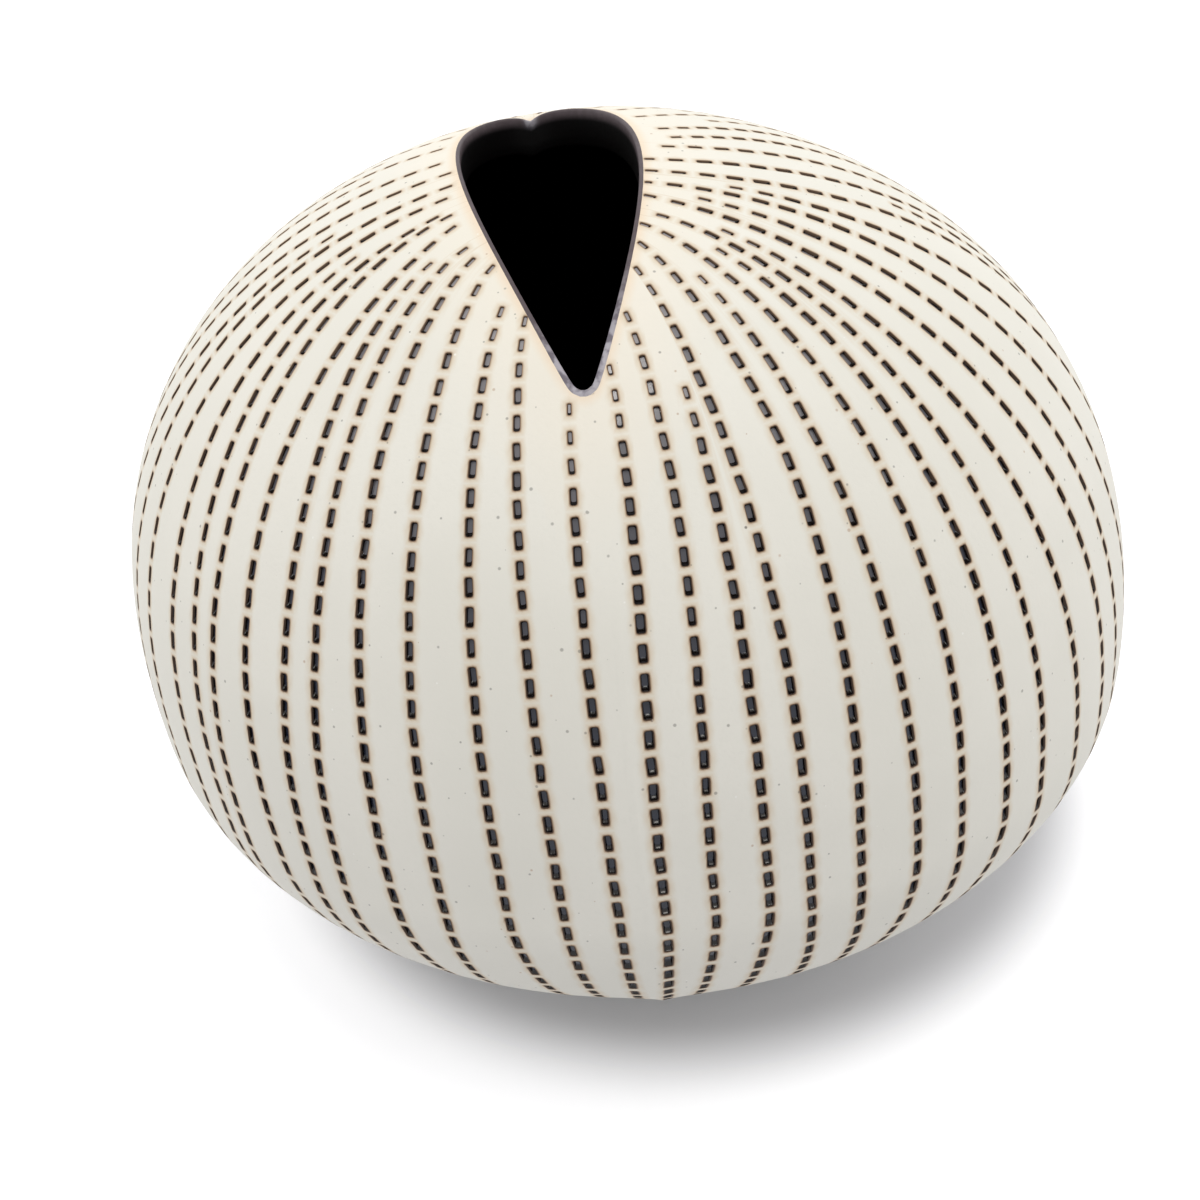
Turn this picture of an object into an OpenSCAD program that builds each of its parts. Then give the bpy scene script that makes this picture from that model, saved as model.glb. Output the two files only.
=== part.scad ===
// Porcelain bud vase: a squat, round pot that leans a little to one side, with one teardrop
// mouth that starts on top and runs down the front, and rows of short dark dashes from the
// mouth to the foot. Lengths are millimetres and Z is up. The foot rests on z = 0, and the
// mouth's narrow end points to -Y.

/* [Body] */
// Width at the widest level
body_w = 90; // [70:1:140]
// Height from the foot to the top
body_h = 68.5; // [55:0.5:110]
// Height of the widest level
belly_h = 24.5; // [16:0.5:40]
// Width of the flat foot
foot_w = 40; // [24:1:60]
// How far the top stands to -X of the belly
lean = 1.8; // [0:0.1:5]
// Roundness of the upper half: 2 is an ellipse, more is squarer
top_power = 2.25; // [2:0.05:2.6]

/* [Wall and glaze] */
// Thickness of the porcelain wall
wall_t = 2.4; // [1.6:0.1:4]
// Thickness of the dark glaze inside
lining_t = 0.3; // [0.2:0.05:0.6]
// Thickness of the dark glaze on the mouth's cut edge
rim_t = 0.4; // [0.2:0.05:0.8]

/* [Mouth] */
// Length of the mouth, from its narrow front end to its blunt back end
mouth_len = 38.5; // [24:0.5:48]
// Width of the mouth at its widest place
mouth_w = 13.7; // [8:0.1:20]
// How far the mouth's centre stands to -X of the axis
mouth_left = 2.1; // [0:0.1:4]
// How far the mouth's centre stands in front of the axis
mouth_front = 11.8; // [6:0.1:16]
// How far the mouth turns, in degrees
mouth_turn = 4.8; // [0:0.1:10]
// How far the mouth's middle bends to +X
mouth_bend = 0.6; // [0:0.1:2]
// Radius of the mouth's narrow end
tip_r = 0.9; // [0.5:0.1:2]
// Depth of the dent in the middle of the blunt end
notch_d = 0.6; // [0:0.1:1.2]
// Half the width of that dent
notch_w = 2.2; // [1:0.1:4]
// How far the edge dips at that dent
notch_drop = 0.9; // [0:0.1:1.5]
// How far that dip spreads
notch_reach = 1; // [0.5:0.1:3]

/* [Dashes] */
// Length of a dash
dash_len = 1.3; // [1:0.05:1.6]
// Width of a dash
dash_w = 0.6; // [0.4:0.05:0.9]
// Thickness of the glaze in a dash
dash_t = 0.15; // [0.1:0.05:0.3]
// Distance from one dash to the next along a row
dash_pitch = 1.95; // [1.8:0.05:2.6]
// Plain strip between the mouth's edge and the first dash
rim_gap = 1.2; // [0.8:0.1:3]
// Plain strip between the foot's edge and the last dash
foot_gap = 13; // [5:0.5:20]

/* [Hidden] */
// Rows that the front shows, from the left to the right. Each has:
// the angle where it passes the belly and the angle of its place on the mouth's edge, both from
// the front towards +X; the pitches that it starts late; its pitch as a share of dash_pitch;
// the share of its way on which it leaves the mouth square; how far it sways to +X before the
// belly, as a share of the body's radius; and how far it twists below the belly, in degrees for
// each degree that it falls.
front_rows = [
    [-81, -109.5, 0, 0.985, 0.14, 0.004, 0],
    [-78.5, -101.5, -0.38, 1.051, 0.36, 0.018, 0],
    [-74, -97.5, 4.15, 1.123, 0.3, 0.067, 0],
    [-63.5, -94.5, -0.3, 1.062, 0.46, -0.06, 0],
    [-57.25, -89.5, 0.02, 1.01, 0.36, -0.067, 0],
    [-50.5, -86.5, 3.87, 1.021, 0.49, -0.038, 0],
    [-45.75, -84, 0.53, 1.036, 0.39, -0.04, 0],
    [-42.75, -82.5, 0.06, 1, 0.28, -0.018, -0.01],
    [-37.25, -79.5, 0.15, 1.026, 0.03, -0.053, 0.03],
    [-33, -72.5, 1.48, 0.99, 0.31, 0.02, -0.02],
    [-29.25, -70, 0.08, 0.979, 0.23, 0.011, -0.01],
    [-23.75, -66.5, 0.04, 1, 0.14, -0.024, 0.03],
    [-18.75, -61, -0.48, 0.985, 0.09, -0.018, 0.01],
    [-12.75, -51.5, 0.12, 0.964, 0.07, -0.02, 0.07],
    [-7.75, -43, -0.6, 0.959, 0.03, -0.018, 0.03],
    [-3, -5, -0.06, 0.969, 0.03, 0, 0],
    [1, 22.5, -0.37, 0.938, 0.03, 0.031, -0.04],
    [5.25, 41.5, -0.3, 0.949, 0.03, 0.047, -0.08],
    [10, 50.5, 4.48, 0.949, 0.08, 0.022, -0.08],
    [13.75, 54, -0.42, 0.954, 0.03, 0.02, 0],
    [18.5, 61, -0.56, 0.954, 0.04, 0.053, 0],
    [24.25, 62.5, 2.28, 0.964, 0.14, 0, -0.07],
    [29.25, 66.5, -0.69, 0.964, 0.1, 0.029, -0.03],
    [35, 68, 2.44, 0.969, 0.19, -0.002, -0.08],
    [40.5, 70.5, -0.09, 0.974, 0.16, -0.02, -0.02],
    [47.25, 72.5, 2.41, 0.99, 0.14, -0.056, 0.01],
    [54, 76.5, -0.58, 1.01, 0.03, -0.062, 0],
    [59.5, 79, 1.33, 1.026, 0.03, -0.051, 0],
    [67, 81.5, -0.76, 1.051, 0.07, -0.067, 0],
    [76.75, 83.5, 2.37, 1.077, 0.5, -0.067, 0],
    [83, 86.5, -0.62, 1.056, 0.5, 0.053, 0],
    [86.25, 89.2, 9.2, 1.051, 0.3, 0, 0],
    [89.5, 92, -0.65, 1.062, 0.44, 0.067, 0],
    [95.5, 99, 0.17, 1.046, 0.35, 0.013, 0],
    [101, 104, 0.69, 0.923, 0.15, 0, 0],
    [108, 110.5, 0.37, 0.897, 0.15, 0, 0]
];
// Rows round the back, where every second one starts late
back_count = 21;
back_late = 3;
back_pitch = 1.05;
// How the other paths leave the mouth, and how all of them reach the belly, as shares of the
// way between the two
leave_share = 0.15;
arrive_share = 0.15;
// How the mouth widens from its narrow end and closes at its blunt end
tip_power = 0.92;
blunt_power = 0.52;

body_r = body_w / 2;
foot_r = foot_w / 2;
top_rise = body_h - belly_h;
// The lower half is part of an ellipse that the foot cuts off
low_drop = belly_h / sqrt(1 - pow(foot_r / body_r, 2));
lean_rate = lean / top_rise;
widest_share = tip_power / (tip_power + blunt_power);
widest = pow(widest_share, tip_power) * pow(1 - widest_share, blunt_power);
front_count = len(front_rows);
row_count = front_count + back_count;
first_angle = front_rows[0];
last_angle = front_rows[front_count - 1];
// Facets round the pot, and from the mouth to the belly and on to the foot, outside and inside
around = 48;
outside_steps = [12, 7];
inside_steps = [8, 5];
// How closely the facets crowd at the mouth's narrow end
tip_crowd = 1.5;
row_steps = 40;

function row_name(i) = str("dash_row_", i < 10 ? "0" : "", i);

// A point of the mouth's outline before it is rounded and placed: a is 0 at the narrow front
// end and 180 at the blunt back end.
function mouth_local(a) =
    let (
        along = (1 - cos(a)) / 2,
        half = (mouth_w / 2 - tip_r) * pow(along, tip_power) * pow(1 - along, blunt_power) / widest,
        x = sign(sin(a)) * half,
        dent = along > 0.5 ? notch_d * exp(-pow(x / notch_w, 2)) : 0
    )
    [x + mouth_bend * 4 * along * (1 - along), -cos(a) * (mouth_len / 2 - tip_r) - dent];

// A place seen from above, spun about the origin by an angle.
function spun(p, a) = [p[0] * cos(a) - p[1] * sin(a), p[0] * sin(a) + p[1] * cos(a)];

// The mouth's edge seen from above, and its outward direction. grow moves it outwards.
function mouth_edge(a, grow = 0) =
    let (
        step = mouth_local(a + 0.5) - mouth_local(a - 0.5),
        side = [step[1], -step[0]] / norm(step),
        point = mouth_local(a) + (tip_r + grow) * side
    )
    [spun(point, mouth_turn) - [mouth_left, mouth_front], spun(side, mouth_turn)];

// The middle of the dent, seen from above, and how far the pot dips round it.
notch_at = spun([0, mouth_len / 2 - notch_d], mouth_turn) - [mouth_left, mouth_front];
function notch_dip(p) = notch_drop * exp(-norm(p - notch_at) / notch_reach);

function curve(p, u) =
    pow(1 - u, 3) * p[0] + 3 * pow(1 - u, 2) * u * p[1] + 3 * (1 - u) * u * u * p[2]
    + pow(u, 3) * p[3];

// A path runs down the pot from 0 at the mouth through 1 at the belly to 2 at the foot, at a
// depth d inside the outer surface. Seen from above, its first half is a curve that leaves the
// mouth's edge square and reaches the belly along a radius, or a little to one side of it. Its
// second half goes straight down, or twists a little.
function path_frame(belly_angle, mouth_angle, d = 0, leave = leave_share, sway = 0, twist = 0) =
    let (
        edge = mouth_edge(mouth_angle),
        radius = [sin(belly_angle), -cos(belly_angle)],
        belly = (body_r - d) * radius,
        away = norm(belly - edge[0]),
        aside = sway * body_r * [-radius[1], radius[0]]
    )
    [
        edge[0],
        edge[0] + leave * away * edge[1],
        belly * (1 - arrive_share) + aside,
        belly,
        twist
    ];

// Height of the upper half over a place seen from above.
function upper_height(p, d) =
    belly_h + (top_rise - d) * pow(max(0, 1 - pow(norm(p) / (body_r - d), 2)), 1 / top_power)
    - notch_dip(p);

function upper_point(frame, t, d) =
    let (p = curve(frame, 1 - pow(1 - t, 2)))
    [p[0], p[1], upper_height(p, d)];

function lower_point(frame, t, d) =
    let (
        a = (t - 1) * asin((belly_h - d) / (low_drop - d)),
        p = spun(frame[3], frame[4] * a)
    )
    [p[0] * cos(a), p[1] * cos(a), belly_h - (low_drop - d) * sin(a)];

// The whole pot leans: each level moves to -X as it rises above the belly.
function leaning(p) = [p[0] - lean_rate * (p[2] - belly_h), p[1], p[2]];

function path_point(frame, t, d = 0) =
    leaning(t < 1 ? upper_point(frame, t, d) : lower_point(frame, t, d));

// Shares of the way round from the front, -1 to 1, for the facets.
function round_share(j) = 2 * j / around - 1;
function crowded(share) = 180 * sign(share) * pow(abs(share), tip_crowd);

// Rings of points from the mouth to the foot at depth d, then the middle of the foot.
function skin_points(d, steps) =
    let (
        frames = [for (j = [0:around - 1]) let (share = round_share(j))
            path_frame(180 * share, crowded(share), d)],
        levels = [
            for (i = [0:steps[0]]) i / steps[0],
            for (i = [1:steps[1]]) 1 + i / steps[1]
        ]
    )
    [
        for (t = levels) each [for (frame = frames) path_point(frame, t, d)],
        leaning([0, 0, d])
    ];

// Triangles of such a skin whose points start at a place in the list. out is 1 where the skin
// faces away from the pot and 0 where it faces in.
function skin_faces(first, rings, out) =
    let (middle = first + rings * around)
    [
        for (i = [0:rings - 2], j = [0:around - 1])
            let (
                next = (j + 1) % around,
                p = first + i * around + j,
                q = first + i * around + next,
                r = p + around,
                s = q + around
            )
            each out == 1 ? [[p, q, s], [p, s, r]] : [[p, s, q], [p, r, s]],
        for (j = [0:around - 1])
            let (
                p = middle - around + j,
                q = middle - around + (j + 1) % around
            )
            out == 1 ? [p, q, middle] : [q, p, middle]
    ];

// Triangles that join two rings, one after the other round the list.
function band_faces(upper, lower) = [
    for (j = [0:around - 1])
        let (next = (j + 1) % around)
        each [[upper + j, lower + next, upper + next], [upper + j, lower + j, lower + next]]
];

// A shell between two depths, open at the mouth.
module shell(d_out, d_in, steps_out, steps_in) {
    outer = skin_points(d_out, steps_out);
    inner = skin_points(d_in, steps_in);
    outer_rings = 1 + steps_out[0] + steps_out[1];
    inner_rings = 1 + steps_in[0] + steps_in[1];
    polyhedron(
        points = concat(outer, inner),
        faces = concat(
            skin_faces(0, outer_rings, 1),
            skin_faces(len(outer), inner_rings, 0),
            band_faces(0, len(outer))
        )
    );
}

module porcelain_body() {
    color("ivory")
        shell(0, wall_t, outside_steps, inside_steps);
}

module glaze_lining() {
    color("black")
        shell(wall_t, wall_t + lining_t, inside_steps, inside_steps);
}

// A ring of points round the mouth, on the surface at depth d.
function edge_ring(grow, d) = [
    for (j = [0:around - 1])
        let (p = mouth_edge(crowded(round_share(j)), grow)[0])
        leaning([p[0], p[1], upper_height(p, d)])
];

// The band on the cut edge goes from the outer surface through the wall and the lining.
module rim_glaze() {
    color("dimgray")
        polyhedron(
            points = concat(
                edge_ring(0, 0),
                edge_ring(0, wall_t + lining_t),
                edge_ring(-rim_t, wall_t + lining_t),
                edge_ring(-rim_t, 0)
            ),
            faces = [for (k = [0:3]) each band_faces((k + 1) % 4 * around, k * around)]
        );
}

// Distance run along a path, paired with the path value that it belongs to.
function run_table(frame, i = 0, run = 0) =
    i == 2 * row_steps ? [[run, 2]] :
    let (
        t = i / row_steps,
        step = norm(path_point(frame, t + 1 / row_steps) - path_point(frame, t))
    )
    concat([[run, t]], run_table(frame, i + 1, run + step));

// The outward direction of the leaning surface at a point.
function outward(p) =
    let (
        up = p[2] - belly_h,
        x = p[0] + lean_rate * up,
        gx = 2 * x / pow(body_r, 2),
        gy = 2 * p[1] / pow(body_r, 2),
        gz = up > 0
            ? top_power * pow(up / top_rise, top_power - 1) / top_rise
            : 2 * up / pow(low_drop, 2),
        g = [gx, gy, gz + lean_rate * gx]
    )
    g / norm(g);

// One dash lies flat on the surface, along its row.
module dash(p, ahead) {
    up = outward(p);
    across = cross(ahead, up) / norm(cross(ahead, up));
    along = cross(up, across);
    multmatrix([
        [across[0], along[0], up[0], p[0]],
        [across[1], along[1], up[1], p[1]],
        [across[2], along[2], up[2], p[2]]
    ])
        translate([-dash_w / 2, -dash_len / 2, 0])
            cube([dash_w, dash_len, dash_t]);
}

// The rows round the back are spread evenly between the last and the first of the front.
function back_row(k) =
    let (share = k / (back_count + 1))
    [
        last_angle[0] + share * (360 + first_angle[0] - last_angle[0]),
        last_angle[1] + share * (360 + first_angle[1] - last_angle[1]),
        k % 2 * back_late,
        back_pitch,
        leave_share,
        0,
        0
    ];

// A row leaves out a dash that would reach over the mouth's edge.
module dash_row(i) {
    row = i <= front_count ? front_rows[i - 1] : back_row(i - front_count);
    frame = path_frame(row[0], row[1], 0, row[4], row[5], row[6]);
    table = run_table(frame);
    pitch = dash_pitch * row[3];
    start = rim_gap + dash_len / 2 + row[2] * pitch;
    stop = table[2 * row_steps][0] - foot_gap - dash_len / 2;
    color("black")
        for (n = [0:floor((stop - start) / pitch)]) {
            run = start + n * pitch;
            if (run > dash_len / 2) {
                here = path_point(frame, lookup(run, table));
                there = path_point(frame, lookup(run + dash_len / 2, table));
                dash(here, there - here);
            }
        }
}

porcelain_body();
glaze_lining();
rim_glaze();
for (i = [1:row_count]) dash_row(i);
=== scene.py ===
import math

import bpy
import numpy as np
from mathutils import Matrix, Vector


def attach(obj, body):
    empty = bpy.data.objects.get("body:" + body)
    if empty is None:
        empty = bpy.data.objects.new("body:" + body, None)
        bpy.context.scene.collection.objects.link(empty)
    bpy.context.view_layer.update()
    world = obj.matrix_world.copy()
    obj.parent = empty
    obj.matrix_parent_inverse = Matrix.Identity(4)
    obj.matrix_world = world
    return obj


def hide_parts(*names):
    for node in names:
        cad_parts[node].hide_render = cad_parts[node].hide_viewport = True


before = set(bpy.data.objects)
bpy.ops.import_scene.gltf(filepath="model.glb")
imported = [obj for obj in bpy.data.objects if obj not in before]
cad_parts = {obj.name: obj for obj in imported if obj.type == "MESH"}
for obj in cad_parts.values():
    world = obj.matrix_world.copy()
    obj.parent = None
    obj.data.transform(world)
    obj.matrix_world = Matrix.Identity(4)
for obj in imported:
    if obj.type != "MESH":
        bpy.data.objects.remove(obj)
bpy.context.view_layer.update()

# The camera. The picture was taken with a phone held close above the front of the pot and
# tilted a little to one side. Its place, tilt and reach come from fitting the pot's outline
# to the outline in the picture.
MM = 0.001
CAMERA_AT = Vector((0.0, -102.88, 86.27))
CAMERA_AIM = Vector((-3.043, 0.0, 23.14))
CAMERA_ROLL = -5.302
PICTURE_SIZE = 1200
FOCAL_PIXELS = 1212.4
SENSOR_WIDTH = 36.0

camera_data = bpy.data.cameras.new("camera")
camera_data.sensor_width = SENSOR_WIDTH
camera_data.lens = SENSOR_WIDTH * FOCAL_PIXELS / PICTURE_SIZE
camera_data.clip_start = 5 * MM
camera = bpy.data.objects.new("camera", camera_data)
bpy.context.scene.collection.objects.link(camera)
camera_ahead = (CAMERA_AIM - CAMERA_AT).normalized()
level_right = camera_ahead.cross(Vector((0, 0, 1))).normalized()
level_up = level_right.cross(camera_ahead)
roll = math.radians(CAMERA_ROLL)
camera_right = level_right * math.cos(roll) + level_up * math.sin(roll)
camera_up = level_up * math.cos(roll) - level_right * math.sin(roll)
camera_turn = Matrix((camera_right, camera_up, -camera_ahead)).transposed().to_4x4()
camera.matrix_world = Matrix.Translation(CAMERA_AT * MM) @ camera_turn
bpy.context.scene.camera = camera

# The porcelain pot. The real one is cast in one piece with a wall of about 2.4 mm, the mouth is
# cut with a knife, and each short dash is pressed into the soft clay before the firing. Here the
# wall is one closed mesh whose outer face runs along the dash rows, so each pit is a real pit.
BODY_R, BODY_H, BELLY_H, FOOT_R = 45.0, 68.5, 24.5, 20.0
LEAN, TOP_POWER = 1.8, 2.25
WALL, LINING = 2.4, 0.3
MOUTH_LEN, MOUTH_W, MOUTH_BEND, TIP_R = 38.5, 13.7, 0.6, 0.9
MOUTH_LEFT, MOUTH_FRONT, MOUTH_TURN = 2.1, 11.8, 4.8
NOTCH_D, NOTCH_W, NOTCH_DROP, NOTCH_REACH = 0.6, 2.2, 0.7, 1.0
TIP_POWER, BLUNT_POWER = 0.92, 0.52
EDGE_NUDGE, PATH_NUDGE, HAND_NUDGE = 0.5, 0.002, 0.05
LEAVE_SHARE, ARRIVE_SHARE = 0.15, 0.15
TOP_RISE = BODY_H - BELLY_H
LOW_DROP = BELLY_H / math.sqrt(1 - (FOOT_R / BODY_R) ** 2)
LEAN_RATE = LEAN / TOP_RISE

# Each row: its angle at the belly, the angle of its place on the mouth's edge, the distance from
# the edge to the middle of its first dash, the distance from one dash to the next, the share of
# its way on which it leaves the mouth square, how far it sways aside before the belly as a share
# of the body's radius, and how far it twists below the belly for each degree that it falls.
FRONT_ROWS = [
    (-81, -109.5, 1.84, 1.92, 0.14, 0.004, 0), (-78.5, -101.5, 1.08, 2.05, 0.36, 0.018, 0),
    (-74, -97.5, 10.93, 2.19, 0.3, 0.067, 0), (-63.5, -94.5, 1.23, 2.07, 0.46, -0.06, 0),
    (-57.25, -89.5, 1.88, 1.97, 0.36, -0.067, 0), (-50.5, -86.5, 9.56, 1.99, 0.49, -0.038, 0),
    (-45.75, -84, 2.92, 2.02, 0.39, -0.04, 0), (-42.75, -82.5, 1.97, 1.95, 0.28, -0.018, -0.01),
    (-37.25, -79.5, 2.16, 2, 0.03, -0.053, 0.03), (-33, -72.5, 4.71, 1.93, 0.31, 0.02, -0.02),
    (-29.25, -70, 2.01, 1.91, 0.23, 0.011, -0.01), (-23.75, -66.5, 1.92, 1.95, 0.14, -0.024, 0.03),
    (-18.75, -61, 0.93, 1.92, 0.09, -0.018, 0.01), (-12.75, -51.5, 2.07, 1.88, 0.07, -0.02, 0.07),
    (-7.75, -43, 0.73, 1.87, 0.03, -0.018, 0.03), (-3, -5, 1.74, 1.89, 0.03, 0, 0),
    (1, 22.5, 1.17, 1.83, 0.03, 0.031, -0.04), (5.25, 41.5, 1.29, 1.85, 0.03, 0.047, -0.08),
    (10, 50.5, 10.14, 1.85, 0.08, 0.022, -0.08), (13.75, 54, 1.06, 1.86, 0.03, 0.02, 0),
    (18.5, 61, 0.81, 1.86, 0.04, 0.053, 0), (24.25, 62.5, 6.13, 1.88, 0.14, 0, -0.07),
    (29.25, 66.5, 0.56, 1.88, 0.1, 0.029, -0.03), (35, 68, 6.46, 1.89, 0.19, -0.002, -0.08),
    (40.5, 70.5, 1.67, 1.9, 0.16, -0.02, -0.02), (47.25, 72.5, 6.51, 1.93, 0.14, -0.056, 0.01),
    (54, 76.5, 0.7, 1.97, 0.03, -0.062, 0), (59.5, 79, 4.51, 2, 0.03, -0.051, 0),
    (67, 81.5, 0.3, 2.05, 0.07, -0.067, 0), (76.75, 83.5, 6.82, 2.1, 0.5, -0.067, 0),
    (83, 86.5, 0.58, 2.06, 0.5, 0.053, 0), (86.25, 89.2, 20.7, 2.05, 0.3, 0, 0),
    (89.5, 92, 0.5, 2.07, 0.44, 0.067, 0), (95.5, 99, 2.2, 2.04, 0.35, 0.013, 0),
    (101, 104, 3.1, 1.8, 0.15, 0, 0), (108, 110.5, 2.5, 1.75, 0.15, 0, 0),
]
BACK_COUNT = 21
BACK_PITCH = 2.05
BACK_FIRST = (8.0, 1.85)


def mouth_line(angle):
    """The mouth's middle line before it is rounded: its half width is the share of the way along
    to one power times the share left to another, the blunt end has a small bell dent, and the
    middle bends aside as a parabola."""
    a = np.radians(angle)
    along = (1 - np.cos(a)) / 2
    widest_share = TIP_POWER / (TIP_POWER + BLUNT_POWER)
    widest = widest_share**TIP_POWER * (1 - widest_share) ** BLUNT_POWER
    half = (MOUTH_W / 2 - TIP_R) * along**TIP_POWER * (1 - along).clip(0) ** BLUNT_POWER / widest
    x = np.sign(np.sin(a)) * half
    dent = np.where(along > 0.5, NOTCH_D * np.exp(-((x / NOTCH_W) ** 2)), 0)
    x = x + MOUTH_BEND * 4 * along * (1 - along)
    return np.stack([x, -np.cos(a) * (MOUTH_LEN / 2 - TIP_R) - dent], -1)


def turned(v):
    """A place or a direction seen from above, turned as the whole mouth is."""
    c, s = math.cos(math.radians(MOUTH_TURN)), math.sin(math.radians(MOUTH_TURN))
    return v @ np.array([[c, s], [-s, c]])


def mouth_edge(angle, grow=0.0):
    """A point of the mouth's edge seen from above, and its outward direction: the middle line
    moved square to itself by the tip's radius, then turned and set in its place."""
    step = mouth_line(angle + EDGE_NUDGE) - mouth_line(angle - EDGE_NUDGE)
    side = np.stack([step[..., 1], -step[..., 0]], -1)
    side /= np.linalg.norm(side, axis=-1, keepdims=True)
    point = turned(mouth_line(angle) + (TIP_R + grow) * side)
    return point - [MOUTH_LEFT, MOUTH_FRONT], turned(side)


def row_bends(belly_angle, mouth_angle, depth=0.0, leave=LEAVE_SHARE, sway=0.0, twist=0.0):
    """Four points that bend a path seen from above, which leaves the mouth's edge square and comes
    to the belly along a radius or a little beside it, and then its twist below the belly."""
    edge, side = mouth_edge(mouth_angle)
    b = np.radians(belly_angle)
    belly = (BODY_R - depth) * np.stack([np.sin(b), -np.cos(b)], -1)
    away = np.linalg.norm(belly - edge, axis=-1, keepdims=True)
    leave, sway, twist = (np.broadcast_to(v, b.shape)[..., None] for v in (leave, sway, twist))
    aside = sway * BODY_R * np.stack([np.cos(b), np.sin(b)], -1)
    leaving, coming = edge + leave * away * side, belly * (1 - ARRIVE_SHARE) + aside
    return np.stack([edge, leaving, coming, belly, twist * [1, 0]], -2)


def leaning(p):
    """Each level of the pot moves to the left as it rises above the belly."""
    return p - LEAN_RATE * (p[..., 2:] - BELLY_H) * [1, 0, 0]


def dome_height(plan, depth=0.0):
    """The height of the dome, at a depth inside it, over a place seen from above: the rise times
    a power of what the squared distance from the axis leaves of the squared radius."""
    out = 1 - (plan**2).sum(-1) / (BODY_R - depth) ** 2
    return BELLY_H + (TOP_RISE - depth) * out.clip(0) ** (1 / TOP_POWER)


def on_path(bends, t, depth=0.0):
    """A point of a path, 0 at the mouth, 1 at the belly and 2 at the foot. The upper half is a
    cubic curve seen from above, lifted onto the dome. The lower half is part of an ellipse, and
    turns about the axis in step with its fall."""
    u = 1 - (1 - np.minimum(t, 1)) ** 2
    w = np.stack([(1 - u) ** 3, 3 * (1 - u) ** 2 * u, 3 * (1 - u) * u**2, u**3], -1)
    plan = (w[..., None] * bends[..., :4, :]).sum(-2)
    upper = dome_height(plan, depth)
    fall = (np.maximum(t, 1) - 1) * math.asin((BELLY_H - depth) / (LOW_DROP - depth))
    turn = bends[..., 4, 0] * fall
    bx, by = bends[..., 3, 0], bends[..., 3, 1]
    low_plan = np.stack([bx * np.cos(turn) - by * np.sin(turn),
                         bx * np.sin(turn) + by * np.cos(turn)], -1) * np.cos(fall)[..., None]
    lower = BELLY_H - (LOW_DROP - depth) * np.sin(fall)
    below = t > 1
    plan = np.where(below[..., None], low_plan, plan)
    return leaning(np.concatenate([plan, np.where(below, lower, upper)[..., None]], -1))


def pot_level(p):
    """How far a point is outside the pot, and the direction in which that grows: the squared
    radius plus a power of the height over the belly, or the squared drop below it, less one."""
    rise = p[..., 2] - BELLY_H
    x, y = p[..., 0] + LEAN_RATE * rise, p[..., 1]
    up, down = rise.clip(0) / TOP_RISE, (-rise).clip(0) / LOW_DROP
    level = (x**2 + y**2) / BODY_R**2 + up**TOP_POWER + down**2 - 1
    gx, gy = 2 * x / BODY_R**2, 2 * y / BODY_R**2
    gz = TOP_POWER * up ** (TOP_POWER - 1) / TOP_RISE - 2 * down / LOW_DROP
    return level, np.stack([gx, gy, gz + LEAN_RATE * gx], -1)


def unit(v):
    """Directions of length one."""
    return v / np.linalg.norm(v, axis=-1, keepdims=True)


def onto_pot(p):
    """The nearest place on the smooth pot, by three steps of Newton's rule."""
    for _ in range(3):
        level, slope = pot_level(p)
        p = p - (level / (slope**2).sum(-1))[..., None] * slope
    return p


def above(plan, depth=0.0):
    """The place on the dome, at a depth inside it, over a place seen from above."""
    return leaning(np.concatenate([plan, dome_height(plan, depth)[..., None]], -1))


def crowded(share, power):
    """Angles round the mouth from -180 to 180: a power of a share from -1 to 1, which sets them
    closer together at the narrow end."""
    return 180 * np.sign(share) * np.abs(share) ** power


EDGE_POINTS, EDGE_STEP, CROWDING = 7200, 6, 1.5
KEEP_CLEAR, CLEAR_REACH = 0.3, 6.0
edge_angle = crowded(np.linspace(-1, 1, EDGE_POINTS + 1)[:-1], CROWDING)
edge_plan, edge_side = mouth_edge(edge_angle)


def off_edge(p):
    """The places p seen from above, the number of the nearest point of the mouth's edge, and how
    far out from it they are."""
    plan = (p + LEAN_RATE * (p[:, 2:] - BELLY_H) * [1, 0, 0])[:, :2]
    gaps = np.linalg.norm(plan[:, None] - edge_plan[::EDGE_STEP], axis=-1)
    k = EDGE_STEP * gaps.argmin(1)
    return plan, k, ((plan - edge_plan[k]) * edge_side[k]).sum(-1)


def clear_of_mouth(p, run):
    """Moves places that would hang over the mouth straight out from its edge, until they are at
    least a share of their run away from it, up to that share of a millimetre."""
    near = np.flatnonzero(run < CLEAR_REACH)
    plan, k, off = off_edge(p[near])
    short = (KEEP_CLEAR * run[near].clip(0, 1) - off).clip(0)
    moved = short > 0
    p[near[moved]] = above(plan[moved] + edge_side[k][moved] * short[moved][:, None])
    return p


back_share = np.arange(1, BACK_COUNT + 1)[:, None] / (BACK_COUNT + 1)
front_rows = np.array(FRONT_ROWS, float)
back_rows = np.zeros((BACK_COUNT, front_rows.shape[1]))
back_rows[:, :2] = front_rows[-1, :2] + back_share * (360 + front_rows[0, :2] - front_rows[-1, :2])
back_rows[:, 2] = np.resize(BACK_FIRST, BACK_COUNT)
back_rows[:, 3], back_rows[:, 4] = BACK_PITCH, LEAVE_SHARE
all_rows = np.concatenate([front_rows, back_rows])
row_belly, row_mouth, row_first, row_pitch, row_leave, row_sway, row_twist = all_rows.T
ROWS = len(all_rows)

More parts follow.
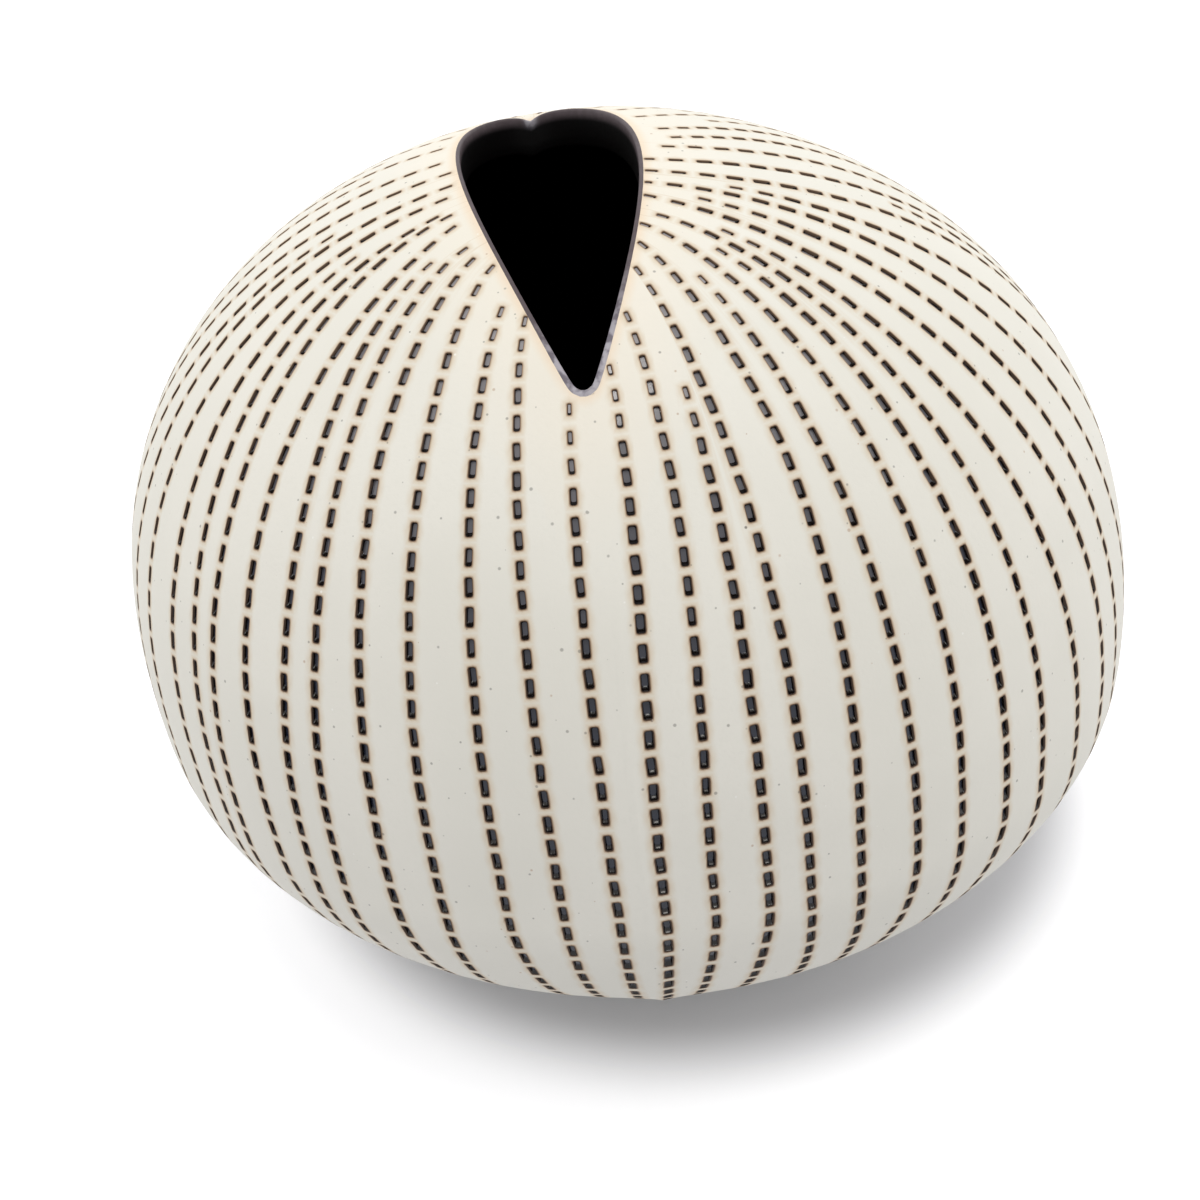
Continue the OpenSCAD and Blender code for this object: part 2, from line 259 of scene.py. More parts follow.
# Every row is sampled once, so that a distance run from the mouth gives a place on the pot.
PATH_STEPS = 600
path_t = np.linspace(0, 2, PATH_STEPS + 1)
bends_of = row_bends(row_belly, row_mouth, 0.0, row_leave, row_sway, row_twist)
row_lines = on_path(bends_of[:, None], path_t)
row_steps = np.linalg.norm(np.diff(row_lines, axis=1), axis=-1)
row_run = np.concatenate([np.zeros((ROWS, 1)), row_steps.cumsum(1)], 1)
row_length = row_run[:, -1]
ROW_KEY = 1000.0
run_keys = (row_run + ROW_KEY * np.arange(ROWS)[:, None]).ravel()
row_aheads = unit(np.gradient(row_lines, axis=1))


def gap_to(step):
    """The distance to the next row on one side, square to this row, all along the row."""
    across = np.roll(row_lines, -step, axis=0) - row_lines
    across -= (across * row_aheads).sum(-1, keepdims=True) * row_aheads
    return np.linalg.norm(across, axis=-1)


RIBBON_HALF, RIBBON_SHARE = 0.56, 0.42
ribbon_left = np.minimum(RIBBON_HALF, RIBBON_SHARE * gap_to(-1)).ravel()
ribbon_right = np.minimum(RIBBON_HALF, RIBBON_SHARE * gap_to(1)).ravel()


def at_run(row, run, values):
    """A value that is listed along all rows, read at a run in each row."""
    return np.interp(run + ROW_KEY * row, run_keys, values)


def beside_row(row, run, x):
    """A place x mm beside a row on the smooth pot, and the directions along and across the row."""
    t = at_run(row, run, np.tile(path_t, ROWS))
    bends = bends_of[row]
    before, after = (on_path(bends, (t + step).clip(0, 2)) for step in (-PATH_NUDGE, PATH_NUDGE))
    ahead = unit(after - before)
    p = on_path(bends, t)
    across = unit(np.cross(unit(pot_level(p)[1]), ahead))
    return clear_of_mouth(onto_pot(p + across * x[:, None]), run), ahead, across


# A low, soft ridge runs down the front from the mouth's tip, where the pot was pinched, and the
# hand leaves slight waves in the wall.
KEEL_BELLY, KEEL_MOUTH, KEEL_H, KEEL_W, KEEL_TOP, KEEL_FADE = -0.6, 5.0, 0.3, 1.7, 57.5, 12.0
WAVE_HEIGHTS, WAVES_ASIDE, WAVES_UP = (0.05, 0.03), (9, 11, 17), (13, 7, 4)
FOOT_FADE, NOTCH_BOTTOM, NOTCH_FADE = 6.0, 45.0, 5.0
keel_line = on_path(row_bends(np.array([KEEL_BELLY]), np.array([KEEL_MOUTH]))[:, None], path_t)[0]
keel_line = keel_line[np.argsort(keel_line[:, 2])]
NOTCH_AT = turned(np.array([0, MOUTH_LEN / 2 - NOTCH_D])) - [MOUTH_LEFT, MOUTH_FRONT]


def notch_dip(p):
    """How far the pot dips round the notch in the mouth's blunt end: it falls off as an
    exponential of the distance seen from above, and ends well above the belly."""
    x = p[..., 0] + LEAN_RATE * (p[..., 2] - BELLY_H)
    off = np.hypot(x - NOTCH_AT[0], p[..., 1] - NOTCH_AT[1])
    fade = ((p[..., 2] - NOTCH_BOTTOM) / NOTCH_FADE).clip(0, 1)
    return NOTCH_DROP * np.exp(-off / NOTCH_REACH) * fade


def hand_marks(p):
    """How far the surface stands out in mm: the ridge falls off as an exponential of the distance
    from its line, the waves are sines of the place, and the notch takes its dip away. The ridge
    and the waves fade out at the foot."""
    kx = np.interp(p[..., 2], keel_line[:, 2], keel_line[:, 0])
    ky = np.interp(p[..., 2], keel_line[:, 2], keel_line[:, 1])
    off = np.hypot(p[..., 0] - kx, p[..., 1] - ky)
    ridge = KEEL_H * np.exp(-off / KEEL_W) * ((KEEL_TOP - p[..., 2]) / KEEL_FADE).clip(0, 1)
    x, y, z = p[..., 0], p[..., 1], p[..., 2]
    (high, low), (a, b, c), (u, v, w) = WAVE_HEIGHTS, WAVES_ASIDE, WAVES_UP
    waves = high * np.sin(x / a + z / u) * np.sin(y / b - z / v + 1) + low * np.sin(z / w + x / c)
    return (ridge + waves) * (z / FOOT_FADE).clip(0, 1) - notch_dip(p)


def hand_shaped(p):
    """Moves points of the smooth pot by the hand marks, and turns their normals to suit."""
    n = unit(pot_level(p)[1])
    steps = HAND_NUDGE * np.eye(3)
    pull = np.stack([hand_marks(p + a) - hand_marks(p - a) for a in steps], -1) / (2 * HAND_NUDGE)
    pull -= (pull * n).sum(-1, keepdims=True) * n
    return p + n * hand_marks(p)[..., None], unit(n - pull)


def zip_columns(left, left_t, right, right_t):
    """Triangles between two columns of points that run the same way. Each step along either one
    makes a triangle with the point reached on the other, in the order of the steps' middles."""
    middles = np.concatenate([(left_t[1:] + left_t[:-1]) / 2, (right_t[1:] + right_t[:-1]) / 2])
    from_left = np.argsort(middles, kind="stable") < len(left) - 1
    i = np.concatenate([[0], from_left.cumsum()])[:-1]
    j = np.concatenate([[0], (~from_left).cumsum()])[:-1]
    i_next, j_next = np.minimum(i + 1, len(left) - 1), np.minimum(j + 1, len(right) - 1)
    return np.stack([left[i], np.where(from_left, left[i_next], right[j_next]), right[j]], -1)


def ring_quads(a, b):
    """Triangles between two closed rings of as many points each, a above b."""
    a2, b2 = np.roll(a, -1), np.roll(b, -1)
    return np.concatenate([np.stack([a, b, b2], -1), np.stack([a, b2, a2], -1)])


def new_piece(name, points, triangles, normals=None, attributes=()):
    """A mesh object at the origin, in metres, from points in mm, triangles, a normal for each
    corner of each triangle, and values for each point."""
    mesh = bpy.data.meshes.new(name)
    triangles = np.ascontiguousarray(triangles, np.int32)
    mesh.vertices.add(len(points))
    mesh.vertices.foreach_set("co", (np.asarray(points) * MM).astype(np.float32).ravel())
    mesh.loops.add(triangles.size)
    mesh.loops.foreach_set("vertex_index", triangles.ravel())
    mesh.polygons.add(len(triangles))
    mesh.polygons.foreach_set("loop_start", np.arange(0, triangles.size, 3, dtype=np.int32))
    mesh.polygons.foreach_set("use_smooth", np.ones(len(triangles), bool))
    mesh.update(calc_edges=True)
    mesh.validate()
    for key, values in attributes:
        layer = mesh.attributes.new(key, "FLOAT", "POINT")
        layer.data.foreach_set("value", np.asarray(values, np.float32))
    if normals is not None:
        mesh.normals_split_custom_set(normals.astype(np.float32))
    piece = bpy.data.objects.new(name, mesh)
    bpy.context.scene.collection.objects.link(piece)
    return piece


# The dashes of each row: small near the mouth and at the start of a row that begins late, and
# with the small differences that a hand tool leaves.
DASH_WIDE, DASH_DEEP, DASH_ROUND = 0.235, 0.32, 0.12
DASH_SHARE, HALF_LONG, LONG_KEPT = 0.31, (0.5, 0.66), 0.35
ROUND_SHARE, ROOM_SHARE, FULL_DEPTH_WIDE, LEAST_WIDE = 0.6, 0.64, 0.26, 0.08
SMALL_SHARE, GROWN_RUN, FIRST_RUN, FOOT_GAP = 0.78, 12.0, 0.22, 13.0
PIT_SLOPE, LIP, LIP_DROP, LIP_LEAN = 0.05, 0.05, 0.02, 0.7
TIP_ROWS, LATE_ROW = (15, 16), 4.0
START_SIZES, LATE_SIZES = np.array([0.72, 0.85, 0.95]), np.array([0.6, 0.72, 0.85])
SIZE_SPREAD, WIDE_SPREAD, PLACE_SPREAD, TILT_SPREAD = 0.04, 0.05, 0.03, 0.03
chance = np.random.default_rng(7)


def by_hand(count, spread):
    """Small differences by chance, at most twice the spread either way."""
    return spread * chance.standard_normal(count).clip(-2, 2)


def dashes_of(row):
    """Middle, half length, half width, depth and tilt of each dash in a row."""
    stop = row_length[row] - FOOT_GAP - DASH_SHARE * row_pitch[row]
    middle = np.arange(row_first[row], stop, row_pitch[row])
    n = len(middle)
    size = np.ones(n)
    starts = LATE_SIZES if row_first[row] > LATE_ROW or row in TIP_ROWS else START_SIZES
    size[: len(starts)] = starts
    size *= SMALL_SHARE + (1 - SMALL_SHARE) * (middle / GROWN_RUN).clip(0, 1)
    size *= 1 + by_hand(n, SIZE_SPREAD)
    row_of = np.full(n, row)
    room = np.minimum(at_run(row_of, middle, ribbon_left), at_run(row_of, middle, ribbon_right))
    row_wide = DASH_WIDE * size * (1 + WIDE_SPREAD * chance.standard_normal())
    half_wide = np.minimum(row_wide, ROOM_SHARE * room)
    row_long = (DASH_SHARE * row_pitch[row]).clip(*HALF_LONG)
    half_long = row_long * (LONG_KEPT + (1 - LONG_KEPT) * size)
    middle = middle + by_hand(n, PLACE_SPREAD)
    start = np.maximum(middle - half_long, FIRST_RUN)
    end = middle + half_long
    middle, half_long = (start + end) / 2, (end - start) / 2
    tilt = by_hand(n, TILT_SPREAD)
    deep = DASH_DEEP * np.minimum(1, half_wide / FULL_DEPTH_WIDE)
    keep = (half_wide > LEAST_WIDE) & (half_long > half_wide)
    return [v[keep] for v in (middle, half_long, half_wide, deep, tilt)]


def dash_ring(half_long, half_wide, tilt, grow):
    """Twelve points round each dash, a rectangle with round corners, from its right-hand side up
    towards the mouth and round. Gives x across the row, y towards the mouth, and the angle."""
    angle = np.radians([0, 45, 90, 90, 135, 180, 180, 225, 270, 270, 315, 360])
    cx, cy = np.repeat([1, -1, -1, 1], 3), np.repeat([1, 1, -1, -1], 3)
    r = np.minimum(DASH_ROUND, ROUND_SHARE * half_wide)[:, None]
    x = cx * (half_wide[:, None] - r) + (r + grow) * np.cos(angle)
    y = cy * (half_long[:, None] - r) + (r + grow) * np.sin(angle)
    c, s = np.cos(tilt)[:, None], np.sin(tilt)[:, None]
    return x * c - y * s, x * s + y * c, angle + tilt[:, None]


def pit_corners(half_long, half_wide, grow=0.0):
    """The corners of each pit's floor: y towards the mouth and x across the row."""
    y = (half_long[:, None] - PIT_SLOPE + grow) * [1, 1, -1, -1]
    return y, (half_wide[:, None] - PIT_SLOPE + grow) * [1, -1, -1, 1]


def into_pit(turn, ahead, across):
    """The directions into a pit from points of its edge: the sine of each point's angle along
    the row, less its cosine across it."""
    return -(np.cos(turn)[:, None] * across - np.sin(turn)[:, None] * ahead)


def plain_runs(start, stop, step):
    """Runs from start to stop, evenly spaced and not further apart than the step."""
    return np.linspace(start, stop, max(2, math.ceil((stop - start) / step) + 1))


# The row, the run, the distance beside the row, the depth, the distance from a dash, and how the
# normal leans, and where to, of all points of the outer face.
point_parts = [[] for _ in range(7)]
point_count = 0


def add_points(row, run, x, deep, dash, turn=0.0, lean_in=0.0):
    """Notes points of the outer face and gives their numbers."""
    global point_count
    shape = np.broadcast(run, x).shape
    for part, value in zip(point_parts, (row, run, x, deep, dash, turn, lean_in)):
        part.append(np.broadcast_to(value, shape).ravel())
    numbers = point_count + np.arange(int(np.prod(shape))).reshape(shape)
    point_count += numbers.size
    return numbers


# One slot's triangles. Points 0 to 7 go round its border, 8 to 19 round the lip, 20 to 31 round
# the pit's edge, and 32 to 35 are the corners of its floor.
lip_spans = [(0, 0), (0, 2), (2, 2), (2, 5), (5, 5), (5, 8), (8, 8), (8, 11)]
slot_faces = []
for k, (first, last) in enumerate(lip_spans):
    slot_faces.append((k, (k + 1) % 8, 8 + last))
    slot_faces += [(8 + j + 1, 8 + j, k) for j in range(first, last)]
slot_faces.append((8, 19, 0))
for j in range(12):
    j2 = (j + 1) % 12
    slot_faces += [(8 + j, 8 + j2, 20 + j2), (8 + j, 20 + j2, 20 + j)]
for k in range(4):
    e = 20 + 3 * k
    after = 20 + (3 * k + 3) % 12
    slot_faces += [(e, e + 1, 32 + k), (e + 1, e + 2, 32 + k)]
    slot_faces += [(e + 2, after, 32 + k), (32 + (k + 1) % 4, 32 + k, after)]
slot_faces += [(32, 33, 34), (32, 34, 35)]
slot_faces = np.array(slot_faces)

END_ROOM, LEAST_START, PLAIN_ABOVE, PLAIN_BELOW = 0.3, 0.25, 1.2, 1.5
row_dashes = [dashes_of(i) for i in range(ROWS)]
skin_faces, left_columns, right_columns = [], [], []
for i, (middle, half_long, half_wide, deep, tilt) in enumerate(row_dashes):
    start, end = middle - half_long, middle + half_long
    joins = np.concatenate([[max(0, start[0] - END_ROOM)], (end[:-1] + start[1:]) / 2,
                            [end[-1] + END_ROOM]])
    if joins[0] < LEAST_START:
        joins[0] = 0
    before = plain_runs(0, joins[0], PLAIN_ABOVE)[:-1] if joins[0] > 0 else np.zeros(0)
    after = plain_runs(joins[-1], row_length[i], PLAIN_BELOW)[1:]
    runs = np.concatenate([before, joins, after])
    row_of = np.full(len(runs), i)
    wide = np.stack([-at_run(row_of, runs, ribbon_left), 0 * runs,
                     at_run(row_of, runs, ribbon_right)], -1)
    past = np.abs(runs[:, None] - middle) - half_long
    nearest = past.argmin(1)
    beyond = (np.abs(wide) - half_wide[nearest][:, None]).clip(0)
    from_dash = np.hypot(beyond, past.min(1).clip(0)[:, None])
    line = add_points(i, runs[:, None], wide, 0, from_dash)
    n = len(middle)
    row_of = np.full(n, i)
    side_x = np.stack([-at_run(row_of, middle, ribbon_left),
                       at_run(row_of, middle, ribbon_right)], -1)
    side = add_points(i, middle[:, None], side_x, 0, np.abs(side_x) - half_wide[:, None])
    x, y, _ = dash_ring(half_long, half_wide, tilt, LIP)
    lip = add_points(i, middle[:, None] - y, x, 0, LIP)
    x, y, turn = dash_ring(half_long, half_wide, tilt, 0)
    edge = add_points(i, middle[:, None] - y, x, LIP_DROP, 0, turn, LIP_LEAN)
    y, x = pit_corners(half_long, half_wide)
    pit_floor = add_points(i, middle[:, None] - y, x, deep[:, None], -PIT_SLOPE)
    top, low = line[len(before) : len(before) + n], line[len(before) + 1 : len(before) + n + 1]
    border = np.stack([side[:, 1], top[:, 2], top[:, 1], top[:, 0],
                       side[:, 0], low[:, 0], low[:, 1], low[:, 2]], -1)
    slot = np.concatenate([border, lip, edge, pit_floor], 1)
    skin_faces.append(slot[:, slot_faces].reshape(-1, 3))
    for part in (line[: len(before) + 1], line[len(before) + n :]):
        for c in (0, 1):
            if len(part) > 1:
                skin_faces.append(np.concatenate([
                    np.stack([part[:-1, c], part[1:, c], part[1:, c + 1]], -1),
                    np.stack([part[:-1, c], part[1:, c + 1], part[:-1, c + 1]], -1)]))
    order = np.argsort(np.concatenate([runs, middle]))
    all_runs = np.concatenate([runs, middle])[order]
    t_of = at_run(np.full(len(all_runs), i), all_runs, np.tile(path_t, ROWS))
    left_columns.append((np.concatenate([line[:, 0], side[:, 0]])[order], t_of))
    right_columns.append((np.concatenate([line[:, 2], side[:, 1]])[order], t_of))

row_of, run_of, x_of, deep_of, dash_of, turn_of, lean_of = map(np.concatenate, point_parts)
skin, ahead_of, across_of = beside_row(row_of, run_of, x_of)
mouth_of = run_of.copy()

# Between two rows stand three more columns, spaced evenly from ribbon to ribbon.
GAP_SHARES = np.array([0.25, 0.5, 0.75])
GAP_FROM_DASH, NEAR_MOUTH = 0.25, 12.0
gap_t = np.concatenate([np.linspace(0, 1, 41), np.linspace(1, 2, 19)[1:]])
gap_points, gap_dash, gap_mouth, gap_ids = [], [], [], []
for i in range(ROWS):
    j = (i + 1) % ROWS
    run_i = np.interp(gap_t, path_t, row_run[i])
    run_j = np.interp(gap_t, path_t, row_run[j])
    rows_i, rows_j = np.full(len(gap_t), i), np.full(len(gap_t), j)
    a = beside_row(rows_i, run_i, at_run(rows_i, run_i, ribbon_right))[0]
    b = beside_row(rows_j, run_j, -at_run(rows_j, run_j, ribbon_left))[0]
    share = GAP_SHARES[:, None, None]
    between_run = (run_i * (1 - share[..., 0]) + run_j * share[..., 0]).ravel()
    p = onto_pot(a * (1 - share) + b * share).reshape(-1, 3)
    gap_points.append(clear_of_mouth(p, between_run))
    nearer = np.minimum(GAP_SHARES, 1 - GAP_SHARES)[:, None] * np.linalg.norm(b - a, axis=-1)
    gap_dash.append((GAP_FROM_DASH + nearer).ravel())
    gap_mouth.append(between_run)
    ids = point_count + np.arange(3 * len(gap_t)).reshape(3, -1)
    gap_ids.append(ids)
    point_count += ids.size
    columns = [right_columns[i], *((c, gap_t) for c in ids), left_columns[j]]
    skin_faces += [zip_columns(*columns[k], *columns[k + 1]) for k in range(4)]
skin = np.concatenate([skin, *gap_points])
mouth_of = np.concatenate([mouth_of, *gap_mouth])
near = np.flatnonzero(mouth_of < NEAR_MOUTH)
mouth_of[near] = off_edge(skin[near])[2]
dash_of = np.concatenate([dash_of, *gap_dash])
extra = len(skin) - len(deep_of)
deep_of, turn_of, lean_of, ahead_of, across_of = (
    np.concatenate([v, np.zeros((extra, *v.shape[1:]))])
    for v in (deep_of, turn_of, lean_of, ahead_of, across_of))

# The first points of all columns lie exactly on the mouth's edge, and the last ones exactly on
# the foot's edge.
edge_line = above(edge_plan)
mouth_loop, foot_loop = [], []
for i in range(ROWS):
    j = (i + 1) % ROWS
    first_points = [left_columns[i][0][0], left_columns[i][0][0] + 1, right_columns[i][0][0]]
    mouth_loop += first_points + list(gap_ids[i][:, 0])
    foot_loop += [left_columns[i][0][-1], left_columns[i][0][-1] + 1, right_columns[i][0][-1]]
    foot_loop += list(gap_ids[i][:, -1])
mouth_loop, foot_loop = np.array(mouth_loop), np.array(foot_loop)
nearest = np.linalg.norm(skin[mouth_loop][:, None] - edge_line[None], axis=-1).argmin(1)
edge_steps = np.linalg.norm(np.roll(edge_line, -1, axis=0) - edge_line, axis=-1)
edge_run = np.concatenate([[0], edge_steps.cumsum()])
nearest = nearest.reshape(ROWS, -1)
from_run, to_run = edge_run[nearest[:, 2]], edge_run[np.roll(nearest[:, 0], -1)]
between = from_run[:, None] + GAP_SHARES * ((to_run - from_run) % edge_run[-1])[:, None]
nearest[:, 3:] = np.searchsorted(edge_run[:-1], between % edge_run[-1]) % len(edge_line)
nearest = nearest.ravel()
skin[mouth_loop] = edge_line[nearest]
loop_angle = edge_angle[nearest]
foot_middle = leaning(np.array([0.0, 0.0, 0.0]))
toward = unit(skin[foot_loop][:, :2] - foot_middle[:2])
skin[foot_loop] = foot_middle + np.concatenate([FOOT_R * toward, 0 * toward[:, :1]], 1)

skin, skin_normal = hand_shaped(skin)
skin[foot_loop, 2] = 0
skin = skin - skin_normal * deep_of[:, None]
inward = into_pit(turn_of, ahead_of, across_of)
skin_normal = unit(skin_normal * (1 - lean_of[:, None] / 2) + inward * lean_of[:, None])

# The inner face is the same shape at the wall's depth, in plain rings, and joins the outer face
# along the mouth's cut edge. The foot is a flat ring round a shallow hollow.
INNER_AROUND = 120
inner_share = 2 * np.arange(INNER_AROUND) / INNER_AROUND - 1
inner_mouth = crowded(inner_share, CROWDING)
inner_t = np.concatenate([np.linspace(0, 1, 17), np.linspace(1, 2, 11)[1:]])


def inner_skin(depth):
    """Rings of the pot's shape at a depth, from the mouth to the floor, then the floor's middle."""
    rings = on_path(row_bends(180 * inner_share, inner_mouth, depth)[None], inner_t[:, None], depth)
    rings = rings - notch_dip(rings)[..., None] * [0, 0, 1]
    return np.concatenate([rings.reshape(-1, 3), leaning(np.array([[0.0, 0.0, depth]]))])


def fan(ring, middle):
    """Triangles from a closed ring to the point in its middle."""
    return np.stack([ring, np.full_like(ring, middle), np.roll(ring, -1)], -1)


def inner_faces(first, outside):
    """Triangles of such rings, facing out of the pot or into it."""
    rings = first + np.arange(len(inner_t) * INNER_AROUND).reshape(len(inner_t), -1)
    faces = [ring_quads(*pair) for pair in zip(rings, rings[1:])]
    faces = np.concatenate([*faces, fan(rings[-1], first + rings.size)])
    return faces if outside else faces[:, ::-1]


def zip_loops(a, a_angle, b, b_angle):
    """The same triangles between two closed loops, which are put in the order of their angles."""
    columns = []
    for ids, angle in ((a, a_angle), (b, b_angle)):
        order = np.argsort(angle, kind="stable")
        ids, angle = ids[order], angle[order]
        columns += [np.append(ids, ids[0]), np.append(angle, angle[0] + 360)]
    return zip_columns(*columns)


inner_first = len(skin)
inner = inner_skin(WALL)
inner_ring = inner_first + np.arange(INNER_AROUND)
shell_faces = [*skin_faces, inner_faces(inner_first, outside=False),
               zip_loops(mouth_loop, loop_angle, inner_ring, inner_mouth)]

FOOT_AROUND = 96
FOOT_RINGS = [(FOOT_R - 0.4, 0.0), (16.6, 0.0), (16.0, 0.15), (15.2, 0.55), (8.0, 0.75)]
foot_angle = -180 + 360 * np.arange(FOOT_AROUND) / FOOT_AROUND
foot_out = np.stack([np.sin(np.radians(foot_angle)), -np.cos(np.radians(foot_angle))], -1)
foot_points = np.concatenate([
    foot_middle + np.concatenate([r * foot_out, np.full((FOOT_AROUND, 1), z)], 1)
    for r, z in FOOT_RINGS] + [foot_middle[None] + [[0, 0, FOOT_RINGS[-1][1]]]])
foot_first = inner_first + len(inner)
foot_ids = foot_first + np.arange(len(FOOT_RINGS) * FOOT_AROUND).reshape(-1, FOOT_AROUND)
toward_angle = np.degrees(np.arctan2(toward[:, 0], -toward[:, 1]))
shell_faces.append(zip_loops(foot_loop, toward_angle, foot_ids[0], foot_angle)[:, ::-1])
shell_faces += [ring_quads(*pair) for pair in zip(foot_ids, foot_ids[1:])]
shell_faces.append(fan(foot_ids[-1], foot_first + foot_ids.size))

HIGH_FROM, HIGH_TO, THINNER = 34.0, 62.0, 0.07
INSIDE_FROM_MOUTH, INSIDE_FROM_DASH = 50.0, 3.0


def high_up(z):
    """0 from the belly down and 1 near the mouth, where the glaze was wiped thinner."""
    return ((z - HIGH_FROM) / (HIGH_TO - HIGH_FROM)).clip(0, 1)


pot_points = np.concatenate([skin, inner, foot_points])
pot_faces = np.concatenate(shell_faces)
rest = len(pot_points) - len(skin)
pot = new_piece("porcelain_pot", pot_points, pot_faces, attributes=[
    ("from_mouth", np.concatenate([mouth_of, np.full(rest, INSIDE_FROM_MOUTH)])),
    ("from_dash", np.concatenate([dash_of + THINNER * high_up(skin[:, 2]),
                                  np.full(rest, INSIDE_FROM_DASH)]))])
pot_normal = np.zeros(len(pot_points) * 3, np.float32)
pot.data.vertices.foreach_get("normal", pot_normal)
pot_normal = pot_normal.reshape(-1, 3)
pot_normal[: len(skin)] = skin_normal
pot.data.normals_split_custom_set_from_vertices(pot_normal)
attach(pot, "root")
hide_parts("porcelain_body")


def new_material(name):
    """A material with a shader of its own, and the functions' shorthand for its tree."""
    material = bpy.data.materials.new(name)
    material.use_nodes = True
    shader = next(n for n in material.node_tree.nodes if n.type == "BSDF_PRINCIPLED")
    return material, material.node_tree, shader


def add_node(tree, kind, settings=(), **sockets):
    """A node of that kind, with its settings, whose named sockets are set or wired up."""
    node = tree.nodes.new("ShaderNode" + kind)
    for key, value in dict(settings).items():
        setattr(node, key, value)
    for key, value in sockets.items():
        socket = node.inputs[int(key[1:]) if key[0] == "n" and key[1:].isdigit() else key]
        if isinstance(value, bpy.types.NodeSocket):
            tree.links.new(value, socket)
        else:
            socket.default_value = value
    return node


def attribute(tree, name):
    """The values that a mesh carries under a name."""
    return add_node(tree, "Attribute", {"attribute_name": name}).outputs["Fac"]


def mapped(tree, value, start, stop, first, last, shape="LINEAR"):
    """A value between the start and the stop, mapped to one between the first and the last."""
    ends = {"From Min": start, "From Max": stop, "To Min": first, "To Max": last}
    return add_node(tree, "MapRange", {"interpolation_type": shape}, Value=value, **ends).outputs[0]


def fall_off(tree, value, start, stop):
    """1 up to the start and 0 past the stop, with a smooth slope between."""
    return mapped(tree, value, start, stop, 1.0, 0.0, "SMOOTHSTEP")


def mixed(tree, share, a, b):
    """A share of colour b over colour a."""
    node = add_node(tree, "Mix", {"data_type": "RGBA", "clamp_factor": True})
    for socket, value in ((0, share), (6, a), (7, b)):
        if isinstance(value, bpy.types.NodeSocket):
            tree.links.new(value, node.inputs[socket])
        else:
            node.inputs[socket].default_value = value
    return node.outputs[2]


def maths(tree, operation, a, b):
    """One sum of two values."""
    return add_node(tree, "Math", {"operation": operation}, n0=a, n1=b).outputs[0]


def set_finish(tree, shader, colour, normal, roughness, specular):
    """Gives a material its colour, its fine relief and its shine."""
    tree.links.new(colour, shader.inputs["Base Color"])
    tree.links.new(normal, shader.inputs["Normal"])
    shader.inputs["Roughness"].default_value = roughness
    shader.inputs["Specular IOR Level"].default_value = specular


CREAM, CREAM_DULL = (0.82, 0.80, 0.73, 1), (0.788, 0.77, 0.70, 1)
CREAM_WARM = (0.86, 0.79, 0.67, 1)
FLAME, TAN, BROWN = (0.85, 0.60, 0.36, 1), (0.68, 0.565, 0.415, 1), (0.30, 0.15, 0.06, 1)
SCORCH = (0.03, 0.014, 0.007, 1)
SPECK, RUST, SPARKLE = (0.10, 0.085, 0.075, 1), (0.42, 0.24, 0.12, 1), (0.95, 0.94, 0.9, 1)

porcelain, tree, shader = new_material("bare_porcelain")
place = add_node(tree, "TexCoord").outputs["Object"]
cloudy = add_node(tree, "TexNoise", Vector=place, Scale=70.0, Detail=3.0).outputs["Fac"]
grain = add_node(tree, "TexNoise", Vector=place, Scale=2600.0, Detail=2.0, Roughness=0.6)
grain = grain.outputs["Fac"]
from_mouth, from_dash = attribute(tree, "from_mouth"), attribute(tree, "from_dash")
colour = mixed(tree, fall_off(tree, cloudy, 0.35, 0.65), CREAM, CREAM_DULL)
for value, start, stop, share, paint in (
        (grain, 0.3, 0.5, 0.35, CREAM_DULL), (from_mouth, 0.5, 8.0, 0.45, CREAM_WARM),
        (from_mouth, 0.05, 1.0, 0.45, FLAME), (from_dash, 0.1, 0.7, 0.8, TAN),
        (from_dash, 0.05, 0.26, 0.8, BROWN), (from_dash, 0.03, 0.15, 0.97, SCORCH)):
    share = maths(tree, "MULTIPLY", fall_off(tree, value, start, stop), share)
    colour = mixed(tree, share, colour, paint)
# Specks burnt into the clay: each cell of a pattern may hold one, of a size of its own.
for scale, size, share, paint in ((900.0, 0.14, 0.5, SPECK), (420.0, 0.07, 0.5, RUST),
                                  (260.0, 0.034, 0.75, SPECK), (500.0, 0.06, 0.6, SPARKLE)):
    spot = add_node(tree, "TexVoronoi", Vector=place, Scale=scale)
    chosen = add_node(tree, "SeparateColor", Color=spot.outputs["Color"])
    reach = maths(tree, "MULTIPLY", chosen.outputs[0], size)
    off = maths(tree, "DIVIDE", spot.outputs["Distance"], reach)
    share = maths(tree, "MULTIPLY", fall_off(tree, off, 0.5, 1.0), share)
    colour = mixed(tree, share, colour, paint)
relief = add_node(tree, "Bump", Height=grain, Strength=0.1, Distance=0.0001).outputs[0]
set_finish(tree, shader, colour, relief, roughness=0.62, specular=0.3)
pot.data.materials.append(porcelain)

# The dark glaze inside. The real pot is lined with a thin, almost black glaze that is poured in
# and out again, so it covers the whole of the inner face.
lining_outer = inner_skin(WALL)
lining_inner = inner_skin(WALL + LINING)
lining_points = np.concatenate([lining_outer, lining_inner])
lining_rim = ring_quads(np.arange(INNER_AROUND), len(lining_outer) + np.arange(INNER_AROUND))
lining_faces = np.concatenate([inner_faces(0, outside=True),
                               inner_faces(len(lining_outer), outside=False), lining_rim[:, ::-1]])
lining = new_piece("inner_glaze", lining_points, lining_faces)
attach(lining, "root")
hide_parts("glaze_lining")


